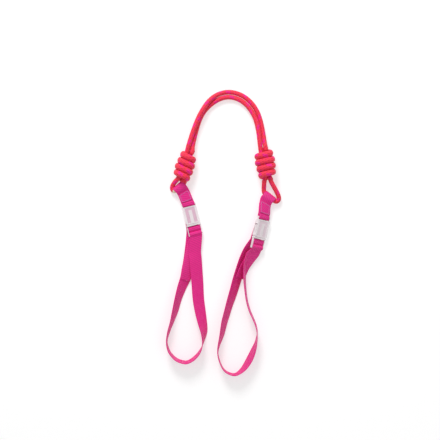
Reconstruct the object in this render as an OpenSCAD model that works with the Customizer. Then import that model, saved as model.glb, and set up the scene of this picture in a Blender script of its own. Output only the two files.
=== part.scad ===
// Rope and webbing carry sling, lying flat: a doubled rope handle with two
// barrel knots, and at each end a webbing tab, a side-release buckle and a
// long adjustable webbing loop.  +Z is up, +Y runs from the loops to the handle.

/* [Rope] */
// Diameter of the braided rope
rope_d = 9.5; // [8:0.5:10]
// Wraps in each barrel knot
knot_wraps = 4; // [3:1:5]
// Height of one flattened wrap along the knot
wrap_pitch = 12.6; // [11:0.2:14]

/* [Webbing] */
// Width of the webbing
web_w = 25; // [22:0.5:25]
// Thickness of the webbing
web_t = 1.5; // [1.2:0.1:1.6]

/* [Buckle] */
// Overall width of socket and plug
buckle_w = 28.8; // [28:0.1:30]
// Thickness of the socket
socket_t = 10.4; // [9.5:0.1:10.4]
// Wall thickness of the socket
socket_wall = 1.4; // [1.2:0.1:1.6]
// Corner radius of the socket's outline
socket_corner = 2.5; // [1:0.5:3]
// Width of the central prong
prong_w = 5.5; // [4:0.5:6]
// Diameter of the socket's webbing bar and of the plug's lower bar
bar_d = 4; // [3:0.2:4]

/* [Hidden] */

// where the middle of the sling's base lies in the drawing coordinates below
origin = [-2.3, -0.6, 0];

rope_color = [0.92, 0.22, 0.32];
web_color = [0.88, 0.18, 0.55];
clear_color = [0.93, 0.88, 0.90];
thread_color = [0.72, 0.55, 0.72];
sleeve_color = [0.93, 0.87, 0.76];

gap = 0.15;              // between webbing and the bars it wraps
rope_r = rope_d / 2;
core_x = rope_r + 0.25;  // the two strands inside a knot, either side of its axis
wrap_r = rope_d + 0.2;   // middle of a wrap, from the strand it goes round
knot_z = wrap_r + rope_r + 0.05;
knot_half = knot_wraps * wrap_pitch / 2;

// knots: [x, y, turn about Z]
left_knot_at = [-72.5, 226, -18];
right_knot_at = [88, 230, 9];

// rope eyes inside the tabs: [x, y, z, turn about Z]
roll_bore_r = rope_r + 0.85;
roll_r = roll_bore_r + web_t;
roll_half = 7;
left_roll_at = [-84, 184.5, roll_r + 0.05, 41, 2.3];
right_roll_at = [96, 164.5, roll_r + 0.05, -38, -5];

// buckles: [x, y, z, turn about Z, roll about their own length]
left_buckle_at = [-60, 127, 7, 14, 0];
right_buckle_at = [79, 100, 13.6, -13, 35];

// stations along a buckle, from its middle towards the tab
socket_bar_y = 23.3;
socket_top_y = 19.3;
socket_mouth_y = -15.5;
plug_top_y = -15.8;
plug_base_y = -19.7;
upper_bar_y = [-23.2, -28.2];
upper_bar_r = 1.6;
lower_bar_y = -36.5;
rail_end_y = -39.5;
rail_t = 1.4;
rail_h = 5;
bar_r = bar_d / 2;
ring_r = bar_r + gap + web_t / 2;
arm_root_y = -14;
arm_x = 9.6;
split_y = -18;

// ---- vectors -------------------------------------------------------------

function unit(v) = v / norm(v);
function turn_z(p, a) = [p.x * cos(a) - p.y * sin(a), p.x * sin(a) + p.y * cos(a), p.z];
function turn_y(p, a) = [p.x * cos(a) + p.z * sin(a), p.y, -p.x * sin(a) + p.z * cos(a)];
function on_buckle(b, p) = [b.x, b.y, b.z] + turn_z(turn_y(p, b[4]), b[3]);
function buckle_across(b) = turn_z(turn_y([1, 0, 0], b[4]), b[3]);
function on_knot(k, p) = [k.x, k.y, 0] + turn_z(p, k.z);
function on_roll(r, p) = [r.x, r.y, r.z] + turn_z(p, r[3]);

// direction of a list of points at point i
function heading(pts, i) =
    unit(pts[min(i + 1, len(pts) - 1)] - pts[max(i - 1, 0)]);

// a smooth curve through the points, with n steps to each span
function spline(p, n) = let (m = len(p) - 1) concat(
    [for (i = [0 : m - 1], k = [0 : n - 1])
        let (
            t = k / n,
            a = p[max(i - 1, 0)],
            b = p[i],
            c = p[i + 1],
            d = p[min(i + 2, m)]
        )
        0.5 * (2 * b + t * (c - a) + t * t * (2 * a - 5 * b + 4 * c - d)
            + t * t * t * (3 * b - a - 3 * c + d))],
    [p[m]]);

// ---- sweeps --------------------------------------------------------------

// closed skin over rings of k points each
module skin(rings) {
    k = len(rings[0]);
    m = len(rings);
    points = [for (ring = rings, p = ring) p];
    sides = [for (i = [0 : m - 2], j = [0 : k - 1], h = [0, 1])
        let (a = i * k + j, b = i * k + (j + 1) % k)
        h == 0 ? [a, b, b + k] : [a, b + k, a + k]];
    start = [for (j = [1 : k - 2]) [0, j + 1, j]];
    finish = [for (j = [1 : k - 2]) [for (v = [0, j, j + 1]) (m - 1) * k + v]];
    polyhedron(points, concat(sides, start, finish));
}

// round tube along points that never run straight up
module tube(pts, r, k = 12) {
    skin([for (i = [0 : len(pts) - 1])
        let (
            t = heading(pts, i),
            s = unit(cross(t, [0, 0, 1])),
            u = cross(s, t)
        )
        [for (j = [0 : k - 1]) pts[i] + r * (cos(360 * j / k) * s + sin(360 * j / k) * u)]]);
}

// flat band: stations are [middle, direction across, width]
module band(stations, t = web_t) {
    mids = [for (s = stations) s[0]];
    skin([for (i = [0 : len(stations) - 1])
        let (
            w = stations[i][1] * stations[i][2] / 2,
            n = unit(cross(heading(mids, i), stations[i][1])) * t / 2
        )
        [mids[i] - w - n, mids[i] - w + n, mids[i] + w + n, mids[i] + w - n]]);
}

// stations from [x, y, z, roll]: 0 lies flat, 90 stands on its edge
function rolled(pts) = [for (i = [0 : len(pts) - 1])
    let (
        mids = [for (p = pts) [p.x, p.y, p.z]],
        t = heading(mids, i),
        left = unit(cross([0, 0, 1], t)),
        up = cross(t, left)
    )
    [mids[i], unit(cos(pts[i][3]) * left - sin(pts[i][3]) * up), web_w]];

// height at which a rolled band stands on its edge
function edge_z(roll) = web_w / 2 * abs(sin(roll)) + web_t / 2 * abs(cos(roll)) + 0.05;
function lay(pts) = [for (p = pts) [p.x, p.y, edge_z(p.z) + p[3], p.z]];

// ---- rope ----------------------------------------------------------------

// middle of the handle's two strands, from the left knot to the right:
// [x, y, z, how far the outer strand leans onto the inner one, in degrees]
arch = [
    [-61.3, 267, 14, 38], [-54, 294, 11.5, 55], [-45, 320, 10, 68], [-34.5, 339, 9.6, 64],
    [-20.5, 355, 8, 36], [-3, 366, 6, 10], [17, 369.5, 5, 0], [37.5, 364, 5, 0],
    [54, 352, 5.4, -6], [66, 336, 6.4, -15], [73.5, 318, 7.8, -30], [78.3, 296, 10, -30],
    [81.3, 274, 13, -20],
];
function arch_strand(side) = [for (i = [0 : len(arch) - 1])
    let (
        mids = [for (p = arch) [p.x, p.y, p.z]],
        t = heading(mids, i),
        out = unit(cross([0, 0, 1], t)),
        lean = arch[i][3]
    )
    mids[i] + side * core_x * (cos(lean) * out + sin(lean) * [0, 0, 1])];

function core(k, side, y) = on_knot(k, [side * core_x, y, knot_z]);
function core_up(k, side) = [for (y = [-knot_half, 0, knot_half]) core(k, side, y)];
function core_down(k, side) = [for (y = [knot_half, 0, -knot_half]) core(k, side, y)];

// the loops below the knots
left_eye_out = [
    [-93.2, 176.6, 7.1], [-96.6, 177.4, 7], [-98.9, 181.2, 7], [-99, 185.8, 7.4],
    [-96.8, 191, 9.4], [-92, 197.5, 12.5],
];
left_eye_in = [[-74.2, 198.5, 12.3], [-73.2, 195, 9.6], [-74.6, 192.4, 7.6]];
right_eye_down = [
    [99, 196, 13.5], [103.5, 187.5, 12.5], [108.5, 178.5, 10.8], [113.2, 169.5, 9],
    [115.3, 162, 7.8], [113.3, 157, 7.3], [109.5, 155.2, 7.2],
];
right_eye_up = [
    [88, 171.2, 7.2], [86.2, 174.8, 7.4], [85.3, 180, 8.5], [85.2, 187, 10.8], [85.5, 195, 13.3],
];

rope_route = concat(
    [on_roll(left_roll_at, [0, 0, 0]), on_roll(left_roll_at, [-roll_half, 0, 0])],
    left_eye_out,
    core_up(left_knot_at, -1),
    arch_strand(1),
    core_down(right_knot_at, 1),
    right_eye_down,
    [on_roll(right_roll_at, [roll_half, 0, 0]), on_roll(right_roll_at, [-roll_half, 0, 0])],
    right_eye_up,
    core_up(right_knot_at, -1),
    [for (i = [len(arch) - 1 : -1 : 0]) arch_strand(-1)[i]],
    core_down(left_knot_at, 1),
    left_eye_in,
    [on_roll(left_roll_at, [roll_half, 0, 0]), on_roll(left_roll_at, [0.02, 0, 0])]);

module rope() {
    color(rope_color) tube(rope_route, rope_r);
}

// one wrap: a ring drawn out by spread each way into a stadium round both strands
module wrap_ring(spread) {
    for (side = [-1, 1])
        translate([side * spread, 0, 0])
            rotate([90, 0, 0])
                rotate([0, 0, side > 0 ? -90 : 90])
                    rotate_extrude(angle = 180, $fn = 48)
                        translate([wrap_r, 0])
                            wrap_section();
    for (side = [-1, 1])
        translate([0, 0, side * wrap_r])
            rotate([90, 0, 90])
                linear_extrude(2 * spread, center = true)
                    rotate(90)
                        wrap_section();
}

// the rope's section where it is pulled tight in a wrap
module wrap_section() {
    flat = (wrap_pitch + 0.3 - rope_d) / 2;
    for (side = [-1, 1])
        translate([0, side * flat])
            circle(r = rope_r, $fn = 32);
    square([rope_d, 2 * flat], center = true);
}

module barrel_knot(k, spreads) {
    translate([k.x, k.y, knot_z])
        rotate([0, 0, k.z])
            for (i = [0 : knot_wraps - 1])
                translate([0, (i + 0.5) * wrap_pitch - knot_half, 0])
                    wrap_ring(spreads[i]);
}

module left_knot() {
    color(rope_color) barrel_knot(left_knot_at, [5, 6, 5.5, 5]);
}

module right_knot() {
    color(rope_color) barrel_knot(right_knot_at, [5, 6.2, 7, 5]);
}

// tube along X with a round bore
module pipe(outer, bore, length) {
    rotate([0, 90, 0])
        difference() {
            cylinder(r = outer, h = length, center = true, $fn = 64);
            cylinder(r = bore, h = length + 1, center = true, $fn = 64);
        }
}

module rope_join_sleeve() {
    color(sleeve_color)
        translate([left_roll_at.x, left_roll_at.y, left_roll_at.z])
            rotate([0, 0, left_roll_at[3]])
                translate([-0.6, 0, 0])
                    pipe(rope_r + 0.55, rope_r + 0.25, 2 * roll_half + 1.2);
}

// ---- webbing tab ---------------------------------------------------------

// point in the tab's middle layer, a share s of the way from the bar to the roll,
// standing off it by lift and across by side
function tab_bar(b) = on_buckle(b, [0, socket_bar_y, 0]);
function tab_across(b, r, s) = unit(
    (1 - s) * buckle_across(b) + s * turn_z([1, 0, 0], r[3]));
function tab_up(b, r, s) = unit(cross(tab_across(b, r, s), [r.x, r.y, r.z] - tab_bar(b)));
function tab_point(b, r, s, lift, side = 0) =
    (1 - s) * tab_bar(b) + s * [r.x, r.y, r.z]
        + lift * tab_up(b, r, s) + (side + 6.75 * s * s * (1 - s) * r[4]) * tab_across(b, r, s);

// [share of the way, stand-off of each ply, width]
tab_plies = [
    [0.02, ring_r - 0.05, web_w], [0.1, 1.9, web_w], [0.19, 0.8, web_w],
    [0.38, 0.8, web_w], [0.58, 0.8, web_w], [0.72, 2.8, web_w],
    [0.8, 4.1, 19], [0.93, roll_r - 0.95, 2 * roll_half],
];

module tab(b, r) {
    color(web_color) {
        translate([r.x, r.y, r.z])
            rotate([0, 0, r[3]])
                pipe(roll_r, roll_bore_r, 2 * roll_half);
        translate([b.x, b.y, b.z])
            rotate([0, b[4], b[3]])
                translate([0, socket_bar_y, 0])
                    pipe(ring_r + web_t / 2, bar_r + gap, web_w);
        for (ply = [-1, 1])
            band([for (p = tab_plies)
                [tab_point(b, r, p[0], ply * p[1]), tab_across(b, r, p[0]), p[2]]]);
    }
}

module left_tab() tab(left_buckle_at, left_roll_at);
module right_tab() tab(right_buckle_at, right_roll_at);

// square of thread through both plies and the strap's end
module box_stitch(b, r) {
    near = 0.22;
    far = 0.56;
    half = web_w / 2 - 3;
    height = 0.8 + web_t / 2 + 0.2;
    color(thread_color) {
        for (side = [-half, half])
            band([for (s = [near : (far - near) / 4 : far + 0.001])
                [tab_point(b, r, s, height, side), tab_across(b, r, s), 0.8]], 0.3);
        for (s = [near, far])
            band([for (p = [-0.01, 0.01])
                [tab_point(b, r, s + p, height), tab_across(b, r, s), 2 * half]], 0.3);
    }
}

module left_box_stitch() box_stitch(left_buckle_at, left_roll_at);
module right_box_stitch() box_stitch(right_buckle_at, right_roll_at);

// ---- buckle --------------------------------------------------------------

module in_buckle(b) {
    color(clear_color)
        translate([b.x, b.y, b.z])
            rotate([0, b[4], b[3]])
                children();
}

// plate with rounded corners between two stations along Y
module plate(w, y0, y1, h, r) {
    linear_extrude(h, center = true) {
        translate([0, (y0 + y1) / 2]) {
            square([w - 2 * r, y1 - y0], center = true);
            square([w, y1 - y0 - 2 * r], center = true);
        }
        for (x = [-1, 1], y = [y0 + r, y1 - r])
            translate([x * (w / 2 - r), y])
                circle(r = r, $fn = 32);
    }
}

module bar(y, length = buckle_w) {
    translate([0, y, 0])
        rotate([0, 90, 0])
            cylinder(r = bar_r, h = length, center = true, $fn = 48);
}

module block(x, y0, y1, w, h) {
    translate([x, (y0 + y1) / 2, 0])
        cube([w, y1 - y0, h], center = true);
}

// hollow box, open at the mouth and at both sides, with a webbing bar on top
module socket(b) {
    cavity_w = buckle_w - 2 * socket_wall;
    cavity_t = socket_t - 2 * socket_wall;
    window = [-8, 10];
    in_buckle(b) {
        difference() {
            plate(buckle_w, socket_mouth_y, socket_top_y, socket_t, socket_corner);
            block(0, socket_mouth_y - 1, socket_top_y - 3, cavity_w, cavity_t);
            block(0, window[0], window[1], buckle_w + 1, cavity_t);
        }
        bar(socket_bar_y);
        for (side = [-1, 1])
            block(side * (buckle_w - rail_t) / 2, socket_top_y - 3, socket_bar_y + bar_r,
                rail_t, rail_h);
    }
}

module left_socket() socket(left_buckle_at);
module right_socket() socket(right_buckle_at);

// shoulder, prong, two rails and the two bars that the strap is threaded round
module plug(b) {
    inner_w = buckle_w - 2 * socket_wall - 0.8;
    in_buckle(b) {
        plate(buckle_w, plug_base_y, plug_top_y, socket_t - 1, 1.5);
        block(0, plug_top_y - 1, arm_root_y, inner_w, 5);
        block(0, arm_root_y - 1, 13, prong_w, 4);
        for (side = [-1, 1])
            block(side * (buckle_w - rail_t) / 2, rail_end_y, plug_base_y + 1,
                rail_t, rail_h);
        bar(lower_bar_y);
        rotate([0, 90, 0])
            linear_extrude(buckle_w, center = true) {
                for (y = upper_bar_y)
                    translate([0, y])
                        circle(r = upper_bar_r, $fn = 48);
                translate([0, (upper_bar_y[0] + upper_bar_y[1]) / 2])
                    square([2 * upper_bar_r, upper_bar_y[0] - upper_bar_y[1]], center = true);
            }
    }
}

module left_plug() plug(left_buckle_at);
module right_plug() plug(right_buckle_at);

// springy side arm with a thumb pad that fills the socket's side window
module arm(b, side) {
    in_buckle(b) {
        translate([side * arm_x, arm_root_y + 1.7, 0])
            cylinder(r = 1.5, h = 5, center = true, $fn = 32);
        block(side * arm_x, arm_root_y + 1.7, 8, 2.4, 5);
        block(side * (arm_x + 2.1), -7.6, 8, 4.6, 5);
    }
}

module left_arm_outer() arm(left_buckle_at, -1);
module left_arm_inner() arm(left_buckle_at, 1);
module right_arm_inner() arm(right_buckle_at, -1);
module right_arm_outer() arm(right_buckle_at, 1);

// ---- straps --------------------------------------------------------------

back_z = -(socket_t / 2 + 0.3 + web_t / 2);

// the sewn end: under the tab, then behind the buckle
sewn_at = [0.56, 0.38, 0.19];
function strap_top(b, r, across) = concat(
    [for (s = sewn_at) tab_point(b, r, s, -0.8 - web_t - 0.15)],
    [for (y = [20, 10, 0, split_y]) on_buckle(b, [across * (10 - y) / 28, y, back_z])]);

module strap_end(b, r, across) {
    pts = strap_top(b, r, across);
    color(web_color)
        band([for (i = [0 : len(pts) - 1])
            [pts[i], i < 3 ? tab_across(b, r, sewn_at[i]) : buckle_across(b), web_w]]);
}

module left_strap_end() strap_end(left_buckle_at, left_roll_at, -3);
module right_strap_end() strap_end(right_buckle_at, right_roll_at, -3);

// the strap's way round the plug's two bars, seen from the side: [y, z]
inner_r = bar_r + gap + web_t / 2;
outer_r = inner_r + gap + web_t;
wide_r = upper_bar_r + gap + web_t / 2;
function arc(y, r, from, to) = [for (i = [0 : 4])
    let (a = from + (to - from) * i / 4) [y + r * sin(a), r * cos(a)]];
ladder = concat(
    arc(lower_bar_y, outer_r, -50, 40),
    [[-31.2, 2]],
    arc(upper_bar_y[1], wide_r, -20, 0),
    arc(upper_bar_y[0], wide_r, 0, 180),
    arc(upper_bar_y[1], wide_r, 180, 240),
    arc(lower_bar_y, inner_r, 60, -50));

// loops: [x, y, roll, height above lying on the table]
left_back = [
    [-57.5, 94, 0, 0], [-58.5, 80, 2, 0], [-60.5, 62, 7, 0], [-64, 38, 15, 0],
    [-68, 20, 24, 0], [-72, 2, 33, 0], [-79, -16, 44, 0], [-86, -38, 56, 0],
    [-92, -62, 62, 0], [-99, -86, 74, 0], [-105, -104, 80, 0], [-109, -124, 87, 0],
    [-105.5, -142, 84, 0], [-98, -154, 78, 0], [-88, -163, 73, 0], [-74, -168, 70, 0],
];
left_front = [
    [-66, -167, 70, 0], [-56, -161, 72, 0], [-46, -150, 78, 0], [-39, -136, 88, 0],
    [-36, -122, 100, 0], [-35, -104, 122, 0], [-38, -86, 137, 0], [-42.5, -62, 150, 0],
    [-46, -38, 156, 0], [-48, -6, 162, 1], [-50, 20, 166, 4], [-51.5, 40, 170, 6],
    [-53, 54, 176, 7.5],
];
left_tail = [[-56, 66, 4, 3.4], [-60, 48, 12, 2.3], [-65.5, 26, 22, 2], [-71.3, 4, 32, 1.9]];

right_back = [
    [58.5, 66, 38, 3.5], [51, 54, 40, 1.5], [42.5, 34, 42, 0], [32, 2, 44, 0],
    [25, -22, 48, 0], [20, -38, 51, 0], [15, -54, 56, 0], [10.5, -70, 58, 0],
    [6, -86, 61, 0], [2, -106, 67, 0], [-1, -118, 73, 0], [-5.5, -134, 82, 0],
    [-7, -148, 87, 0], [-4, -162, 86, 0], [3, -178, 80, 0], [12, -187, 76, 0],
    [25, -191, 72, 0],
];
right_front = [
    [35, -187, 68, 0], [46, -176, 63, 0], [56, -160, 62, 0], [64, -142, 68, 0],
    [69.5, -124, 82, 0], [71.5, -106, 92, 0], [69, -92, 95, 0], [63.5, -78, 96, 0],
    [56.5, -62, 97, 0], [51, -42, 97, 0], [48, -20, 99, 0], [47, 0, 103, 0],
    [48, 20, 112, 1], [53, 38, 127, 3], [61, 50, 138, 3.5],
];
right_tail = [[66, 52, 34, 5], [57, 40, 38, 4], [46, 24, 42, 2.9], [38.5, 8, 43, 2.2]];

function xyz(pts) = [for (p = pts) [p.x, p.y, p.z]];

// back strand, bottom, front strand, bars and tail in one length of webbing
module strap_loop(b, back, front, tail, across) {
    behind = [for (y = [split_y - 0.6, split_y - 4, split_y - 9])
        on_buckle(b, [across * (10 - y) / 28, y, back_z])];
    top = [for (i = [1, 2]) concat(behind[i], [b[4]])];
    start = [[behind[0], buckle_across(b), web_w]];
    loop = concat(start, rolled(spline(concat(top, lay(back), lay(front)), 2)));
    bars = [for (p = ladder) [on_buckle(b, [0, p.x, p.y]), buckle_across(b), web_w]];
    free = rolled(spline(lay(tail), 3));
    color(web_color) band(concat(loop, bars, free));
}

module left_strap_loop()
    strap_loop(left_buckle_at, left_back, left_front, left_tail, -3);
module right_strap_loop()
    strap_loop(right_buckle_at, right_back, right_front, right_tail, -3);

// ---- nodes ---------------------------------------------------------------

translate(-origin) {
    rope();
    left_knot();
    right_knot();
    rope_join_sleeve();
    left_tab();
    left_box_stitch();
    left_socket();
    left_plug();
    left_arm_inner();
    left_arm_outer();
    left_strap_end();
    left_strap_loop();
    right_tab();
    right_box_stitch();
    right_socket();
    right_plug();
    right_arm_inner();
    right_arm_outer();
    right_strap_end();
    right_strap_loop();
}
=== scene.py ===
"""Rope and webbing carry sling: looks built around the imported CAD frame."""
import math

import bpy
import numpy as np
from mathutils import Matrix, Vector


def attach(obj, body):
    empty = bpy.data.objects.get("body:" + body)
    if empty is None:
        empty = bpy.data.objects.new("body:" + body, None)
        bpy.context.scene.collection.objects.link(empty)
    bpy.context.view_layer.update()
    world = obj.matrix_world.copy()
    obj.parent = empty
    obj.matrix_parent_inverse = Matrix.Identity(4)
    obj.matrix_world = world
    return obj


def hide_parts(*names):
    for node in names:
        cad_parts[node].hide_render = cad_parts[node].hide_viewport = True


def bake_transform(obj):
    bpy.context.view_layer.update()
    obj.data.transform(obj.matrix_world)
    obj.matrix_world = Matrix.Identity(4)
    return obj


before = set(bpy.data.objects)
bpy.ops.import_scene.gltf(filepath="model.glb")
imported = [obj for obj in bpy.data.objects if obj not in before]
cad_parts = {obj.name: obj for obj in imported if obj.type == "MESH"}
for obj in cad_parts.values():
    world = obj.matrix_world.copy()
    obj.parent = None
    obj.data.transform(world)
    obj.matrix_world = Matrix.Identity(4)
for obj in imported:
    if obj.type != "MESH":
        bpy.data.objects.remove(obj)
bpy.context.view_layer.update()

MM = 0.001
ORIGIN = np.array([-2.3, -0.6, 0.0])   # the row's origin in the drawing coordinates used below

# ---- sizes, as in the CAD model, in millimetres ----------------------------
ROPE_D = 9.5
ROPE_R = ROPE_D / 2
CORE_X = ROPE_R + 0.25
WRAPS = 4
WRAP_PITCH = 12.6
WRAP_R = ROPE_D + 0.2
KNOT_Z = WRAP_R + ROPE_R + 0.05
KNOT_HALF = WRAPS * WRAP_PITCH / 2
WEB_W = 25.0
WEB_T = 1.5
BUCKLE_W = 28.8
SOCKET_T = 10.4
BAR_R = 2.0
GAP = 0.15
ROLL_BORE_R = ROPE_R + 0.85
ROLL_R = ROLL_BORE_R + WEB_T
ROLL_HALF = 7.0
SOCKET_BAR_Y = 23.3
UPPER_BAR_Y = (-23.2, -28.2)
UPPER_BAR_R = 1.6
LOWER_BAR_Y = -36.5
SPLIT_Y = -18.0
BACK_Z = -(SOCKET_T / 2 + 0.3 + WEB_T / 2)
STRAP_SHIFT = -3.0                      # sideways drift of the back strand down the buckle
PLY_LIFT = 0.8                          # middle of each of the tab's two plies, from the tab's middle
SEWN_AT = (0.56, 0.38, 0.19)            # shares of the tab's length where the strap is sewn under it
LAP_SPAN = (0.19, 0.66)                 # and where its lap lies over it
STITCH_SPAN = (0.22, 0.62)              # and where the box stitch lies
STITCH_INSET = 3.2
STITCH_PITCH = 2.9
THREAD_R = 0.46

# the braid: two crossing sets of yarns
YARNS = 8
YARN_LAY = 11.0
YARN_RISE = 0.22
ROPE_SIDES = 40
SLEEVE_SIDES = 28
SLEEVE_END = 16.0                       # how far the joining sleeve reaches down the rope

# knots: middle and turn; rolls and buckles: middle, turn about Z, roll about their length
KNOTS = {"left": (-72.5, 226, -18), "right": (88, 230, 9)}
ROLLS = {"left": (-84, 184.5, ROLL_R + 0.05, 41), "right": (96, 164.5, ROLL_R + 0.05, -38)}
BUCKLES = {"left": (-60, 127, 7, 14, 0), "right": (79, 100, 13.6, -13, 35)}
# how far each tab bows sideways on its way to the rope, in millimetres
BOW = {"left": 2.3, "right": -5}
SIDES = ("left", "right")


# ---- vectors -----------------------------------------------------------------
def unit(v):
    return v / np.linalg.norm(v)


def turn_z(p, degrees):
    a = math.radians(degrees)
    x, y, z = p
    return np.array([x * math.cos(a) - y * math.sin(a), x * math.sin(a) + y * math.cos(a), z])


def turn_y(p, degrees):
    a = math.radians(degrees)
    x, y, z = p
    return np.array([x * math.cos(a) + z * math.sin(a), y, -x * math.sin(a) + z * math.cos(a)])


def on_buckle(side, p):
    x, y, z, turn, roll = BUCKLES[side]
    return np.array([x, y, z]) + turn_z(turn_y(p, roll), turn)


def buckle_across(side):
    *_, turn, roll = BUCKLES[side]
    return turn_z(turn_y((1, 0, 0), roll), turn)


def on_knot(side, p):
    x, y, turn = KNOTS[side]
    return np.array([x, y, 0]) + turn_z(p, turn)


def on_roll(side, p):
    x, y, z, turn = ROLLS[side]
    return np.array([x, y, z]) + turn_z(p, turn)


def headings(points):
    ahead = np.vstack([points[1:], points[-1:]])
    behind = np.vstack([points[:1], points[:-1]])
    d = ahead - behind
    return d / np.linalg.norm(d, axis=1)[:, None]


def spline(points, steps):
    """Catmull-Rom curve through rows of any length, as in the CAD model."""
    p = np.asarray(points, float)
    out = []
    for i in range(len(p) - 1):
        a, b, c = p[max(i - 1, 0)], p[i], p[i + 1]
        d = p[min(i + 2, len(p) - 1)]
        for k in range(steps):
            t = k / steps
            out.append(0.5 * (2 * b + t * (c - a) + t * t * (2 * a - 5 * b + 4 * c - d)
                              + t ** 3 * (3 * b - a - 3 * c + d)))
    out.append(p[-1])
    return np.array(out)


def even(points, step):
    """The same curve with stations about one step apart along its first three columns."""
    p = np.asarray(points, float)
    seg = np.linalg.norm(np.diff(p[:, :3], axis=0), axis=1)
    keep = np.concatenate([[True], seg > 1e-6])
    p = p[keep]
    s = np.concatenate([[0], np.cumsum(np.linalg.norm(np.diff(p[:, :3], axis=0), axis=1))])
    at = np.linspace(0, s[-1], max(2, int(round(s[-1] / step)) + 1))
    return np.column_stack([np.interp(at, s, p[:, c]) for c in range(p.shape[1])]), at


def relax(points, passes):
    """Rounds the corners of an evenly spaced curve, ends held."""
    p = points.copy()
    for _ in range(passes):
        p[1:-1] = 0.25 * p[:-2] + 0.5 * p[1:-1] + 0.25 * p[2:]
    return p


# ---- meshes --------------------------------------------------------------------
def mesh_object(name, verts, faces, uvs=None, smooth=True):
    """Object from millimetre points in the drawing coordinates; uvs has one pair per face corner."""
    mesh = bpy.data.meshes.new(name)
    mesh.from_pydata(((np.asarray(verts) - ORIGIN) * MM).tolist(), [],
                     [tuple(map(int, f)) for f in faces])
    if uvs is not None:
        layer = mesh.uv_layers.new(name="lay")
        layer.data.foreach_set("uv", np.asarray(uvs, np.float32).ravel())
    mesh.polygons.foreach_set("use_smooth", [smooth] * len(mesh.polygons))
    mesh.update()
    obj = bpy.data.objects.new(name, mesh)
    bpy.context.scene.collection.objects.link(obj)
    return obj


def skin(name, rings, along, around):
    """Closed sweep: rings is (stations, points, 3); along and around are the UVs of its
    stations and points."""
    m, k, _ = rings.shape
    verts = rings.reshape(-1, 3)
    faces, uvs = [], []
    for i in range(m - 1):
        for j in range(k):
            n = (j + 1) % k
            faces.append((i * k + j, i * k + n, (i + 1) * k + n, (i + 1) * k + j))
            u0, u1, v0, v1 = along[i], along[i + 1], around[j], around[j + 1]
            uvs += [(u0, v0), (u0, v1), (u1, v1), (u1, v0)]
    faces.append(tuple(range(k - 1, -1, -1)))
    uvs += [(along[0], around[j]) for j in range(k - 1, -1, -1)]
    faces.append(tuple((m - 1) * k + j for j in range(k)))
    uvs += [(along[-1], around[j]) for j in range(k)]
    return mesh_object(name, verts, faces, uvs)


# ---- camera and light --------------------------------------------------------
VIEW_CENTRE = Vector((-0.0004, 0.1193, 0.006))
VIEW_WIDTH = 0.88
CAMERA_HEIGHT = 3.5


def make_camera():
    data = bpy.data.cameras.new("camera")
    data.sensor_width = 36
    data.lens = 36 * CAMERA_HEIGHT / VIEW_WIDTH
    camera = bpy.data.objects.new("camera", data)
    camera.location = VIEW_CENTRE + Vector((0, 0, CAMERA_HEIGHT))
    bpy.context.scene.collection.objects.link(camera)
    bpy.context.scene.camera = camera


def make_light(name, place, size, power):
    data = bpy.data.lights.new(name, "AREA")
    data.shape = "SQUARE"
    data.size = size
    data.energy = power
    light = bpy.data.objects.new(name, data)
    light.location = VIEW_CENTRE + Vector(place)
    light.rotation_euler = (-Vector(place)).to_track_quat("-Z", "Y").to_euler()
    bpy.context.scene.collection.objects.link(light)


def make_stage():
    floor = mesh_object("floor", [(-4000, -4000, -0.3), (4000, -4000, -0.3),
                                  (4000, 4000, -0.3), (-4000, 4000, -0.3)],
                        [(0, 1, 2, 3)], smooth=False)
    # part of the floor's white is its own light, so shadows and the webbing's pink stay faint on it
    floor.data.materials.append(Nodes("floor_white").put(
        base_color=(0.55, 0.55, 0.55), roughness=0.9, emission_color=(1, 1, 1), emission_strength=0.5))
    world = bpy.data.worlds.new("studio")
    world.use_nodes = True
    world.node_tree.nodes["Background"].inputs["Color"].default_value = (1, 1, 1, 1)
    world.node_tree.nodes["Background"].inputs["Strength"].default_value = 0.54
    bpy.context.scene.world = world
    bpy.context.scene.view_settings.view_transform = "Standard"
    make_light("key", (-0.45, 1.9, 1.45), 0.8, 43)
    make_light("fill", (1.2, -0.8, 1.8), 1.6, 5)


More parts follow.
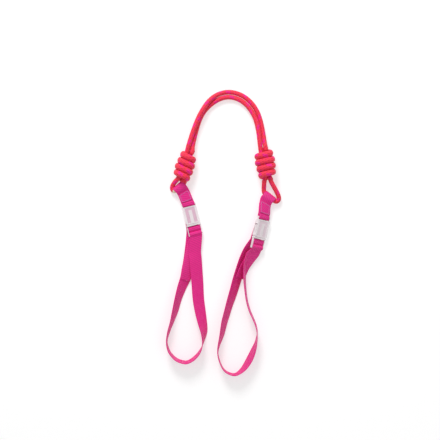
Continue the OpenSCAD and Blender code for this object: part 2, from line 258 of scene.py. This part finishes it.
# ---- materials ---------------------------------------------------------------
class Nodes:
    """Small helper that adds shader nodes and links them by name."""

    def __init__(self, name):
        self.material = bpy.data.materials.new(name)
        self.material.use_nodes = True
        self.tree = self.material.node_tree
        self.shader = self.tree.nodes["Principled BSDF"]

    def add(self, kind, **values):
        node = self.tree.nodes.new(kind)
        for key, value in values.items():
            setattr(node, key, value)
        return node

    def link(self, source, target):
        self.tree.links.new(source, target)

    def math(self, operation, a, b=0.0, clamp=False):
        node = self.add("ShaderNodeMath", operation=operation, use_clamp=clamp)
        for socket, value in zip(node.inputs, (a, b)):
            if isinstance(value, (int, float)):
                socket.default_value = value
            else:
                self.link(value, socket)
        return node.outputs[0]

    def uv(self):
        """Distance along and share across or around, from the piece's own layout."""
        node = self.add("ShaderNodeUVMap", uv_map="lay")
        split = self.add("ShaderNodeSeparateXYZ")
        self.link(node.outputs["UV"], split.inputs[0])
        return split.outputs[0], split.outputs[1]

    def noise(self, scale, detail=3.0):
        place = self.add("ShaderNodeTexCoord")
        node = self.add("ShaderNodeTexNoise")
        node.inputs["Scale"].default_value = scale
        node.inputs["Detail"].default_value = detail
        self.link(place.outputs["Object"], node.inputs["Vector"])
        return node.outputs[0]

    def mix(self, share, a, b):
        node = self.add("ShaderNodeMix", data_type="RGBA")
        for socket, value in zip((node.inputs[0], node.inputs[6], node.inputs[7]), (share, a, b)):
            if isinstance(value, (int, float)):
                socket.default_value = value
            elif isinstance(value, tuple):
                socket.default_value = (*value, 1)
            else:
                self.link(value, socket)
        return node.outputs[2]

    def bump(self, height, distance, strength=1.0):
        node = self.add("ShaderNodeBump")
        node.inputs["Distance"].default_value = distance
        node.inputs["Strength"].default_value = strength
        self.link(height, node.inputs["Height"])
        self.link(node.outputs[0], self.shader.inputs["Normal"])

    def put(self, **values):
        for key, value in values.items():
            socket = self.shader.inputs[key.replace("_", " ").title().replace("Ior", "IOR")]
            if hasattr(value, "node"):
                self.link(value, socket)
            elif isinstance(value, tuple):
                socket.default_value = (*value, 1)
            else:
                socket.default_value = value
        return self.material


def rope_material():
    n = Nodes("coral_braid")
    along, around = n.uv()
    # two crossing sets of yarns
    turns = n.math("MULTIPLY", around, float(YARNS))
    lay = n.math("MULTIPLY", along, 1 / YARN_LAY)
    right = n.math("SINE", n.math("MULTIPLY", n.math("ADD", turns, lay), 2 * math.pi))
    left = n.math("SINE", n.math("MULTIPLY", n.math("SUBTRACT", turns, lay), 2 * math.pi))
    yarn = n.math("MAXIMUM", right, left)
    # pink flecks: one dash on a few of the right-hand yarns
    fleck_turn = n.math("ADD", n.math("MULTIPLY", around, 2.0), n.math("MULTIPLY", along, 1 / 44.0))
    fleck = n.math("SINE", n.math("MULTIPLY", fleck_turn, 2 * math.pi))
    dash = n.math("SINE", n.math("MULTIPLY", along, 2 * math.pi / 17.0))
    share = n.math("MULTIPLY", n.math("GREATER_THAN", fleck, 0.45),
                   n.math("GREATER_THAN", dash, -0.15))
    cloth = n.mix(n.noise(220.0), (0.93, 0.018, 0.060), (1.0, 0.030, 0.090))
    color = n.mix(share, cloth, (1.0, 0.0, 0.26))
    raised = n.math("MULTIPLY", n.math("ADD", yarn, 1.0), 0.5, clamp=True)
    shade = n.mix(raised, (0.66, 0.60, 0.66), (1, 1, 1))
    mul = n.add("ShaderNodeMix", data_type="RGBA", blend_type="MULTIPLY")
    mul.inputs[0].default_value = 1.0
    n.link(color, mul.inputs[6])
    n.link(shade, mul.inputs[7])
    fine = n.math("SINE", n.math("MULTIPLY", n.math("ADD", n.math("MULTIPLY", around, 96.0),
                                                    n.math("MULTIPLY", along, 1.1)), 2 * math.pi))
    height = n.math("ADD", yarn, n.math("MULTIPLY", fine, 0.15))
    n.bump(height, 0.0005, 0.6)
    return n.put(base_color=mul.outputs[2], roughness=0.62, sheen_weight=0.08,
                 sheen_roughness=0.4)


def webbing_material():
    n = Nodes("magenta_webbing")
    along, across = n.uv()
    # twill: raised diagonals about 4 mm apart, over fine lengthwise warps
    twill = n.math("SINE", n.math("MULTIPLY", n.math("ADD", n.math("MULTIPLY", across, 3.5),
                                                     n.math("MULTIPLY", along, 1 / 4.6)), 2 * math.pi))
    warp = n.math("SINE", n.math("MULTIPLY", across, 2 * math.pi * 26))
    weave = n.math("ADD", n.math("MULTIPLY", twill, 0.6), n.math("MULTIPLY", warp, 0.4))
    base = n.mix(n.noise(90.0), (0.88, 0.009, 0.27), (0.98, 0.014, 0.31))
    # painted shade: the weave's sunk diagonals and warps are darkened in the colour
    sunk_shade = n.math("MULTIPLY", n.math("SUBTRACT", 1.0, weave), 0.42, clamp=True)
    color = n.mix(sunk_shade, base, (0.58, 0.005, 0.17))
    n.bump(weave, 0.00035, 0.7)
    return n.put(base_color=color, roughness=0.55, sheen_weight=0.1, sheen_roughness=0.35)


def thread_material():
    n = Nodes("lavender_thread")
    along, _ = n.uv()
    ply = n.math("SINE", n.math("MULTIPLY", along, 2 * math.pi / 0.5))
    n.bump(ply, 0.0001, 0.5)
    color = n.mix(n.noise(300.0), (0.40, 0.24, 0.50), (0.55, 0.36, 0.62))
    return n.put(base_color=color, roughness=0.5)


def sleeve_material():
    n = Nodes("cream_sleeve")
    n.bump(n.noise(900.0), 0.0002, 0.6)
    color = n.mix(n.noise(200.0), (0.80, 0.68, 0.48), (0.88, 0.80, 0.62))
    return n.put(base_color=color, roughness=0.7)


# painted see-through: the strap's pink seen through each buckle's hollow, painted into the plastic's
# colour, deeper on the left buckle
HOLLOW_PAINTED_SHOWTHROUGH = {"left": (0.86, 0.58, 0.71), "right": (0.92, 0.76, 0.83)}


def plastic_material(side):
    """Milky plastic; in the hollow on both sides of the prong the strap's pink showing through is
    painted into its colour.
    """
    n = Nodes(side + "_milky_plastic")
    x, y, z, turn, roll = BUCKLES[side]
    place = n.add("ShaderNodeTexCoord")
    local = n.add("ShaderNodeMapping", vector_type="TEXTURE")
    local.inputs["Location"].default_value = ((np.array([x, y, z]) - ORIGIN) * MM).tolist()
    local.inputs["Rotation"].default_value = (0, math.radians(roll), math.radians(turn))
    local.inputs["Scale"].default_value = (MM, MM, MM)
    n.link(place.outputs["Object"], local.inputs["Vector"])
    split = n.add("ShaderNodeSeparateXYZ")
    n.link(local.outputs[0], split.inputs[0])
    out = n.math("ABSOLUTE", split.outputs[0])
    down = split.outputs[1]

    def inside(half, bottom, top):
        """1 inside a box in the buckle's plan, fading over its edge."""
        sideways = n.math("MULTIPLY", n.math("SUBTRACT", half, out), 1.5, clamp=True)
        above = n.math("MULTIPLY", n.math("SUBTRACT", down, bottom), 1.5, clamp=True)
        below = n.math("MULTIPLY", n.math("SUBTRACT", top, down), 1.5, clamp=True)
        return n.math("MULTIPLY", n.math("MULTIPLY", sideways, above), below)

    prong = inside(3.9, -16.0, 11.8)
    hollow = n.math("MULTIPLY", inside(10.0, -14.0, 16.6), n.math("SUBTRACT", 1.0, prong))
    shell = n.mix(n.noise(60.0, 2.0), (0.95, 0.87, 0.90), (0.98, 0.92, 0.94))
    # painted see-through: the strap's pink is painted over the hollow
    color = n.mix(hollow, shell, HOLLOW_PAINTED_SHOWTHROUGH[side])
    n.bump(n.math("MULTIPLY", hollow, -1.0), 0.0006, 0.8)
    return n.put(base_color=color, roughness=0.22, alpha=0.7, specular_ior_level=0.5)


# ---- rope ----------------------------------------------------------------------
# middle of the handle's two strands, left knot to right: x, y, z, lean in degrees
ARCH = np.array([
    (-61.3, 267, 14, 38), (-54, 294, 11.5, 55), (-45, 320, 10, 68), (-34.5, 339, 9.6, 64),
    (-20.5, 355, 8, 36), (-3, 366, 6, 10), (17, 369.5, 5, 0), (37.5, 364, 5, 0),
    (54, 352, 5.4, -6), (66, 336, 6.4, -15), (73.5, 318, 7.8, -30), (78.3, 296, 10, -30),
    (81.3, 274, 13, -20)], float)
LEFT_EYE_OUT = [
    (-93.2, 176.6, 6.7), (-96.6, 177.4, 5.9), (-98.6, 181.2, 5.2), (-98.2, 185.6, 5.5),
    (-95.6, 190.4, 7.9), (-91.4, 196.4, 11.8)]
LEFT_EYE_IN = [(-74.2, 198.5, 12.3), (-73.2, 195, 8.8), (-74.6, 192.4, 6.9)]
RIGHT_EYE_DOWN = [
    (99, 196, 13.5), (103.5, 187.5, 12.5), (108.5, 178.5, 10.8), (113.2, 169.5, 9),
    (115.3, 162, 6.8), (113.3, 157, 6), (109.5, 155.2, 6.4)]
RIGHT_EYE_UP = [
    (86.8, 171.7, 7.1), (85.2, 175.2, 6.8), (84.9, 180.4, 7.6), (85.2, 187, 10.4), (85.5, 195, 13.3)]
# half length of each wrap's straight part, top wrap first, and how far the fronts are tipped back
SPREAD = {"left": (2.8, 5, 6, 3.5), "right": (5, 7, 6, 4)}
TIP = {"left": 0.06, "right": 0.09}


def arch_strand(side):
    mids = ARCH[:, :3]
    out = []
    for mid, t, lean in zip(mids, headings(mids), np.radians(ARCH[:, 3])):
        across = unit(np.cross((0, 0, 1), t))
        tilted = math.cos(lean) * across + np.array((0, 0, math.sin(lean)))
        out.append(mid + side * CORE_X * tilted)
    return out


def knot_core(side):
    """The strand that the wraps go round, bottom to top."""
    return [on_knot(side, (-CORE_X, y, KNOT_Z)) for y in (-KNOT_HALF, 0, KNOT_HALF)]


def stadium(turn, spread):
    """x and z on one wrap after that share of a turn, from the middle of the back to the left first."""
    sixth = spread / (2 * spread + math.pi * WRAP_R)      # share of half a turn on each straight half
    share = (2 * turn) % 1.0
    front = (2 * turn) % 2.0 >= 1.0
    if share < sixth:
        x, z = -share / sixth * spread, -WRAP_R
    elif share > 1 - sixth:
        x, z = -(1 - share) / sixth * spread, WRAP_R
    else:
        a = (share - sixth) / (1 - 2 * sixth) * math.pi
        x, z = -spread - WRAP_R * math.sin(a), -WRAP_R * math.cos(a)
    return (-x, -z) if front else (x, z)


def knot_wraps(side):
    """The other strand, top to bottom: behind, round both strands, and out behind again."""
    hand = 1 if side == "left" else -1
    steps = 24
    out = [on_knot(side, (CORE_X, KNOT_HALF + 5, KNOT_Z))]
    for i in range(WRAPS * steps + 1):
        turn = i / steps
        x, z = stadium(turn, np.interp(turn, np.arange(WRAPS) + 0.5, SPREAD[side]))
        y = KNOT_HALF - WRAP_PITCH * turn + TIP[side] * x
        out.append(on_knot(side, (hand * x, y, KNOT_Z + z)))
    out.append(on_knot(side, (CORE_X, -KNOT_HALF - 3, KNOT_Z - 1)))
    return out


def rope_route():
    """Down the rope's middle from its join in the left tab all the way round: the points, a share
    that is 1 where the rope is pressed flat in a knot, and the distance along."""
    stretches = [
        ([on_roll("left", (0, 0, 0)), on_roll("left", (-ROLL_HALF, 0, 0))], 0),
        (LEFT_EYE_OUT, 0),
        (knot_core("left"), 0),
        (arch_strand(1), 0),
        (knot_wraps("right"), 1),
        (RIGHT_EYE_DOWN, 0),
        ([on_roll("right", (ROLL_HALF, 0, 0)), on_roll("right", (-ROLL_HALF, 0, 0))], 0),
        (RIGHT_EYE_UP, 0),
        (knot_core("right"), 0),
        (arch_strand(-1)[::-1], 0),
        (knot_wraps("left"), 1),
        (LEFT_EYE_IN, 0),
        ([on_roll("left", (ROLL_HALF, 0, 0)), on_roll("left", (0.4, 0, 0))], 0)]
    rows = [(*p, flat) for points, flat in stretches for p in points]
    dense, at = even(spline(rows, 8), 1.1)
    dense = relax(dense, 10)
    return dense[:, :3], np.clip(dense[:, 3], 0, 1), at


def make_join_sleeve(path, at):
    """Thin cream sleeve over the rope's join, from inside the left tab to past its edge."""
    line = np.vstack([[on_roll("left", (7, 0, 0))], path[at < SLEEVE_END]])
    line, along = even(line, 1.0)
    line = relax(line, 2)
    t = headings(line)
    s = np.cross(t, (0.0, 0.0, 1.0))
    s /= np.linalg.norm(s, axis=1)[:, None]
    u = np.cross(s, t)
    angle = np.arange(SLEEVE_SIDES) * 2 * math.pi / SLEEVE_SIDES
    r = np.full(len(line), ROPE_R + 0.3)
    r[[0, -1]] = ROPE_R - 0.1
    rings = (line[:, None] + r[:, None, None] * (np.cos(angle)[None, :, None] * s[:, None]
                                                 + np.sin(angle)[None, :, None] * u[:, None]))
    sleeve = skin("join_sleeve", rings, along, np.arange(SLEEVE_SIDES + 1) / SLEEVE_SIDES)
    sleeve.data.materials.append(MATERIALS["sleeve"])
    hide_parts("rope_join_sleeve")
    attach(sleeve, "handle")


def make_rope():
    path, flat, at = rope_route()
    make_join_sleeve(path, at)
    t = headings(path)
    side = np.cross(t, (0.0, 0.0, 1.0))
    side /= np.linalg.norm(side, axis=1)[:, None] + 1e-9
    # carry the frame along the rope without twisting it
    frames = [unit(np.cross(t[0], (0, 0, 1)))]
    for i in range(1, len(path)):
        s = frames[-1] - np.dot(frames[-1], t[i]) * t[i]
        frames.append(unit(s))
    side = np.array(frames)
    up = np.cross(side, t)
    angle = np.arange(ROPE_SIDES) * 2 * math.pi / ROPE_SIDES
    knot_axis = {s: turn_z((0, 1, 0), KNOTS[s][2]) for s in SIDES}
    rings = np.empty((len(path), ROPE_SIDES, 3))
    for i, p in enumerate(path):
        turns, lay = YARNS * angle / (2 * math.pi), at[i] / YARN_LAY
        yarn = np.maximum(np.sin(2 * math.pi * (turns + lay)), np.sin(2 * math.pi * (turns - lay)))
        r = ROPE_R - 0.25 + YARN_RISE * yarn
        ring = np.cos(angle)[:, None] * side[i] + np.sin(angle)[:, None] * up[i]
        ring = ring * r[:, None]
        if flat[i] > 0:
            axis = knot_axis["left" if p[0] < 0 else "right"]
            axis = unit(axis - np.dot(axis, t[i]) * t[i])
            ring += np.outer(ring @ axis, axis) * 0.30 * flat[i]
        rings[i] = p + ring
    rings[..., 2] = np.maximum(rings[..., 2], 0.0)
    rope = skin("rope_braid", rings, at, np.arange(ROPE_SIDES + 1) / ROPE_SIDES)
    rope.data.materials.append(MATERIALS["rope"])
    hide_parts("rope", "left_knot", "right_knot")
    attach(rope, "handle")


# ---- webbing -------------------------------------------------------------------
def band_section(width, thickness=WEB_T, top=15, edge=3):
    """Outline of a woven band: flat faces, rounded selvages, from one edge round to it again.
    Rows are across and through."""
    half, r = width / 2, thickness / 2
    xs = np.linspace(-(half - r), half - r, top)
    rows = [(x, r) for x in xs]
    rows += [(half - r + r * math.sin(a), r * math.cos(a))
             for a in np.linspace(0, math.pi, edge + 2)[1:-1]]
    rows += [(x, -r) for x in xs[::-1]]
    rows += [(-(half - r) - r * math.sin(a), -r * math.cos(a))
             for a in np.linspace(0, math.pi, edge + 2)[1:-1]]
    return np.array(rows)


def make_band(name, mids, across, widths=None, thickness=WEB_T, material="webbing"):
    """Sweeps the band's section along stations about 1 mm apart."""
    widths = np.full(len(mids), WEB_W) if widths is None else widths
    t = headings(mids)
    w = across / np.linalg.norm(across, axis=1)[:, None]
    n = np.cross(t, w)
    n /= np.linalg.norm(n, axis=1)[:, None]
    section = band_section(WEB_W, thickness)
    scale = widths / WEB_W
    rings = (mids[:, None, :]
             + section[None, :, 0, None] * w[:, None, :] * scale[:, None, None]
             + section[None, :, 1, None] * n[:, None, :])
    at = np.concatenate([[0], np.cumsum(np.linalg.norm(np.diff(mids, axis=0), axis=1))])
    share = (section[:, 0] + WEB_W / 2) / WEB_W
    # flipped so the faces look outwards
    band = skin(name, rings[:, ::-1], at, np.append(share[::-1], share[-1]))
    band.data.materials.append(MATERIALS[material])
    return band


def tab_bar(side):
    return on_buckle(side, (0, SOCKET_BAR_Y, 0))


def tab_frame(side, s):
    """Middle, across and up of the tab, a share s of the way from the bar to the rope roll."""
    roll = np.array(ROLLS[side][:3], float)
    share = np.clip(s, 0, 1)
    across = unit((1 - share) * buckle_across(side) + share * turn_z((1, 0, 0), ROLLS[side][3]))
    up = unit(np.cross(across, roll - tab_bar(side)))
    bow = 6.75 * s * s * (1 - s) * BOW[side]
    return (1 - s) * tab_bar(side) + s * roll + bow * across, across, up


def tab_point(side, s, lift, x=0.0):
    mid, across, up = tab_frame(side, s)
    return mid + lift * up + x * across


# loops: x, y, roll, height above lying on the table
LOOPS = {
    "left": {
        "back": [
            (-57.5, 94, 0, 0), (-58.5, 80, 2, 0), (-60.5, 62, 7, 0), (-64, 38, 15, 0),
            (-68, 20, 24, 0), (-72, 2, 33, 0), (-79, -16, 44, 0), (-86, -38, 56, 0),
            (-92, -62, 62, 0), (-99, -86, 74, 0), (-105, -104, 80, 0), (-109, -124, 87, 0),
            (-105.5, -141, 84, 0), (-98, -152.5, 82, 0), (-88, -161, 80, 0), (-74, -165.5, 79, 0)],
        "front": [
            (-66, -164.5, 79, 0), (-56, -158.8, 78, 0), (-46, -148.5, 80, 0), (-39, -135.5, 88, 0),
            (-36, -122, 100, 0), (-35, -104, 122, 0), (-38, -86, 137, 0), (-42.5, -62, 150, 0),
            (-46, -38, 156, 0), (-48, -6, 162, 1), (-50, 20, 166, 2.8), (-51.5, 40, 170, 4.4),
            (-53, 54, 176, 5.6)],
        "tail": [(-56, 66, 4, 3.4), (-60, 48, 12, 2.3), (-65.5, 26, 22, 2), (-72.6, -1.5, 33, 1.9)]},
    "right": {
        "back": [
            (58.5, 66, 38, 3.5), (51, 54, 40, 1.5), (42.5, 34, 42, 0), (32, 2, 44, 0),
            (25, -22, 48, 0), (20, -38, 51, 0), (15, -54, 56, 0), (10.5, -70, 58, 0),
            (6, -86, 61, 0), (2, -106, 67, 0), (-1, -118, 73, 0), (-5.5, -134, 82, 0),
            (-7, -148, 88, 0), (-4, -162, 88, 0), (3, -177.5, 87, 0), (12, -186, 85, 0),
            (25, -190, 83, 0)],
        "front": [
            (35, -186.3, 78, 0), (46, -176, 68, 0), (56, -160, 62, 0), (64, -142, 68, 0),
            (69.5, -124, 82, 0), (71.5, -106, 92, 0), (69, -92, 95, 0), (63.5, -78, 96, 0),
            (56.5, -62, 97, 0), (51, -42, 97, 0), (48, -20, 98, 0), (46.5, 0, 100, 0),
            (47, 20, 104, 1.2), (49.5, 37, 109, 2.6), (56.5, 50, 126, 3.6)],
        "tail": [(66, 52, 34, 5), (57, 40, 38, 4), (46, 23, 42, 2.9), (37.6, 2, 43.5, 2.2)]}}


def lay(points):
    """x, y, z, roll of a band standing on the table at each of those stations."""
    out = []
    for x, y, roll, lift in points:
        a = math.radians(roll)
        resting = WEB_W / 2 * abs(math.sin(a)) + WEB_T / 2 * abs(math.cos(a)) + 0.05
        out.append((x, y, resting + lift, roll))
    return out


def across_of(points):
    """The direction across a band at stations of x, y, z, roll."""
    t = headings(points[:, :3])
    left = np.cross((0.0, 0.0, 1.0), t)
    left /= np.linalg.norm(left, axis=1)[:, None]
    up = np.cross(t, left)
    a = np.radians(points[:, 3])[:, None]
    return np.cos(a) * left - np.sin(a) * up


def arc(y, r, start, end, steps=12):
    return [(y + r * math.sin(a), r * math.cos(a))
            for a in np.radians(np.linspace(start, end, steps))]


def ladder():
    """The strap's way round the plug's two bars, seen from the side."""
    inner = BAR_R + GAP + WEB_T / 2
    outer = inner + GAP + WEB_T
    wide = UPPER_BAR_R + GAP + WEB_T / 2
    return (arc(LOWER_BAR_Y, outer, -62, 45) + [(-31.7, -0.4)]
            + arc(UPPER_BAR_Y[1], wide, -20, 0) + arc(UPPER_BAR_Y[0], wide, 0, 180)
            + arc(UPPER_BAR_Y[1], wide, 180, 240) + arc(LOWER_BAR_Y, inner, 60, -78))


def strap_stations(side):
    """Middle and across of the whole strap, sewn end to tail, and where the bottom of its loop is."""
    roll = BUCKLES[side][4]
    loop = LOOPS[side]
    sewn = [(*tab_point(side, s, -PLY_LIFT - WEB_T - GAP), *tab_frame(side, s)[1])
            for s in SEWN_AT]
    behind = [on_buckle(side, (STRAP_SHIFT * (10 - y) / 28, y, BACK_Z))
              for y in (20, 10, 0, SPLIT_Y, SPLIT_Y - 7)]
    sewn_part = even(np.array(sewn + [(*p, *buckle_across(side)) for p in behind[:2]]), 4)[0]
    free = spline([(*p, roll) for p in behind[1:]] + lay(loop["back"]) + lay(loop["front"]), 10)
    free_across = across_of(free)
    bottom = free[10 * (len(behind) - 1 + len(loop["back"])) - 10, :3]
    bars = np.array([on_buckle(side, (0, y, z)) for y, z in ladder()])
    bars_across = np.tile(buckle_across(side), (len(bars), 1))
    tail = spline(lay(loop["tail"]), 10)
    mids = np.vstack([sewn_part[:-1, :3], free[:, :3], bars, tail[:, :3]])
    across = np.vstack([sewn_part[:-1, 3:], free_across, bars_across, across_of(tail)])
    rows, at = even(np.hstack([mids, across]), 1.0)
    rows = relax(rows, 3)
    split = int(np.argmin(np.linalg.norm(rows[:, :3] - bottom, axis=1)))
    return rows[:, :3], rows[:, 3:], split


def make_strap(side):
    mids, across, split = strap_stations(side)
    mids = mids.copy()
    low = mids[:, 2] - WEB_W / 2 * np.abs(across[:, 2])
    mids[:, 2] += np.maximum(0.0, -low)
    back = make_band(side + "_strap_back", mids[:split + 1], across[:split + 1])
    front = make_band(side + "_strap_front", mids[split:], across[split:])
    for piece in (back, front):
        for v in piece.data.vertices:
            v.co.z = max(v.co.z, 0.0)
    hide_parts(side + "_strap_end")
    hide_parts(side + "_strap_loop")
    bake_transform(back)
    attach(front, side + "_plug")
    length = np.linalg.norm(np.diff(mids, axis=0), axis=1).sum()
    print(side, "strap", round(float(length), 1))


def make_tab(side):
    """One closed fold of webbing: up the front, round the rope, down the back, round the bar."""
    roll_ring = ROLL_R - WEB_T / 2
    bar_ring = BAR_R + GAP + WEB_T / 2
    # share of the way up the tab, and how far each ply stands from its middle there
    plies = ((0.07, 2.75), (0.1, 2.2), (0.14, 1.1), (0.19, PLY_LIFT), (0.38, PLY_LIFT),
             (0.6, PLY_LIFT), (0.7, 1.9), (0.79, 4.0), (0.87, 5.5))
    bar, across_bar, up_bar = tab_frame(side, 0.0)
    roll, across_roll, up_roll = tab_frame(side, 1.0)
    run_bar, run_roll = np.cross(up_bar, across_bar), np.cross(up_roll, across_roll)
    rows = []
    for s, lift in plies:
        mid, across, up = tab_frame(side, s)
        rows.append((*(mid + lift * up), *across, WEB_W))
    # over the crown at full width, then drawn in where the rope leaves on both sides
    for a in range(80, -81, -10):
        point = roll + roll_ring * (math.cos(math.radians(a)) * run_roll
                                    + math.sin(math.radians(a)) * up_roll)
        rows.append((*point, *across_roll, np.interp(a, (-75, -50, 0, 22), (25, 17, 17, 25))))
    for s, lift in plies[::-1]:
        mid, across, up = tab_frame(side, s)
        rows.append((*(mid - lift * up), *across, WEB_W))
    for a in range(-80, -281, -20):
        point = bar + bar_ring * (math.cos(math.radians(a)) * run_bar
                                  + math.sin(math.radians(a)) * up_bar)
        rows.append((*point, *across_bar, WEB_W))
    rows.append(rows[0])
    dense, _ = even(spline(np.array(rows), 8), 0.8)
    dense = relax(dense, 2)
    band = make_band(side + "_tab_fold", dense[:, :3], dense[:, 3:6], dense[:, 6])
    for v in band.data.vertices:
        v.co.z = max(v.co.z, 0.0)
    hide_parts(side + "_tab")
    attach(band, side + "_tab")
    # the fold's other end, lapped over the front and sewn through
    rows = []
    for s in np.linspace(*LAP_SPAN, 16):
        mid, across, up = tab_frame(side, s)
        lift = PLY_LIFT + WEB_T + 1.2 * max(0.0, (s - 0.6) / 0.1) ** 1.5
        rows.append((*(mid + lift * up), *across))
    dense, _ = even(np.array(rows), 0.8)
    lap = make_band(side + "_tab_lap", dense[:, :3], dense[:, 3:])
    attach(lap, side + "_tab")


def make_stitches(side):
    """A box of separate stitches, each a short raised thread that dips in at its ends."""
    (near, far), half = STITCH_SPAN, WEB_W / 2 - STITCH_INSET
    height = PLY_LIFT + 1.5 * WEB_T + 0.15
    steps, ring = 6, 8
    verts, faces, uvs = [], [], []
    corners = [(near, -half), (near, half), (far, half), (far, -half)]
    for (s0, x0), (s1, x1) in zip(corners, corners[1:] + corners[:1]):
        a, b = tab_point(side, s0, 0, x0), tab_point(side, s1, 0, x1)
        count = max(3, int(round(np.linalg.norm(b - a) / STITCH_PITCH)))
        for k in range(count):
            u0, u1 = (k + 0.12) / count, (k + 0.88) / count
            line = []
            for f in np.linspace(0, 1, steps + 1):
                u = u0 + (u1 - u0) * f
                dip = 0.30 * math.sin(math.pi * f)
                line.append(tab_point(side, s0 + (s1 - s0) * u, height - 0.25 + dip,
                                      x0 + (x1 - x0) * u))
            line = np.array(line)
            t = headings(line)
            up = tab_frame(side, (s0 + s1) / 2)[2]
            w = np.cross(t, up)
            w /= np.linalg.norm(w, axis=1)[:, None]
            base = len(verts)
            for p, ww, f in zip(line, w, np.linspace(0, 1, steps + 1)):
                r = THREAD_R * (0.45 + 0.55 * math.sin(math.pi * f))
                for j in range(ring):
                    turn = 2 * math.pi * j / ring
                    verts.append(p + r * (math.cos(turn) * ww + 0.75 * math.sin(turn) * up))
            for i in range(steps):
                for j in range(ring):
                    n = (j + 1) % ring
                    faces.append((base + i * ring + j, base + (i + 1) * ring + j,
                                  base + (i + 1) * ring + n, base + i * ring + n))
                    uvs += [(i * 0.35, j / ring), ((i + 1) * 0.35, j / ring),
                            ((i + 1) * 0.35, (j + 1) / ring), (i * 0.35, (j + 1) / ring)]
            faces.append(tuple(base + j for j in range(ring)))
            faces.append(tuple(base + steps * ring + j for j in range(ring - 1, -1, -1)))
            uvs += [(0, 0)] * (2 * ring)
    stitches = mesh_object(side + "_stitching", verts, faces, uvs)
    stitches.data.materials.append(MATERIALS["thread"])
    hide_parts(side + "_box_stitch")
    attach(stitches, side + "_tab")


# ---- what stays CAD --------------------------------------------------------------
def finish_cad_nodes():
    for name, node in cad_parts.items():
        if any(part in name for part in ("socket", "plug", "arm")):
            paint(node, MATERIALS[name.split("_")[0] + "_plastic"])
            soften(node, 0.35)


def paint(node, material):
    node.data.materials.clear()
    node.data.materials.append(material)


def soften(node, width):
    """Rounds a plastic piece's edges."""
    bevel = node.modifiers.new("edges", "BEVEL")
    bevel.width = width * MM
    bevel.segments = 2
    bevel.limit_method = "ANGLE"
    bevel.angle_limit = math.radians(40)
    bevel.harden_normals = False


MATERIALS = {"rope": rope_material(), "webbing": webbing_material(), "thread": thread_material(),
             "sleeve": sleeve_material(), "left_plastic": plastic_material("left"),
             "right_plastic": plastic_material("right")}
make_camera()
make_stage()
make_rope()
for side in SIDES:
    make_strap(side)
    make_tab(side)
    make_stitches(side)
finish_cad_nodes()

bpy.context.view_layer.update()
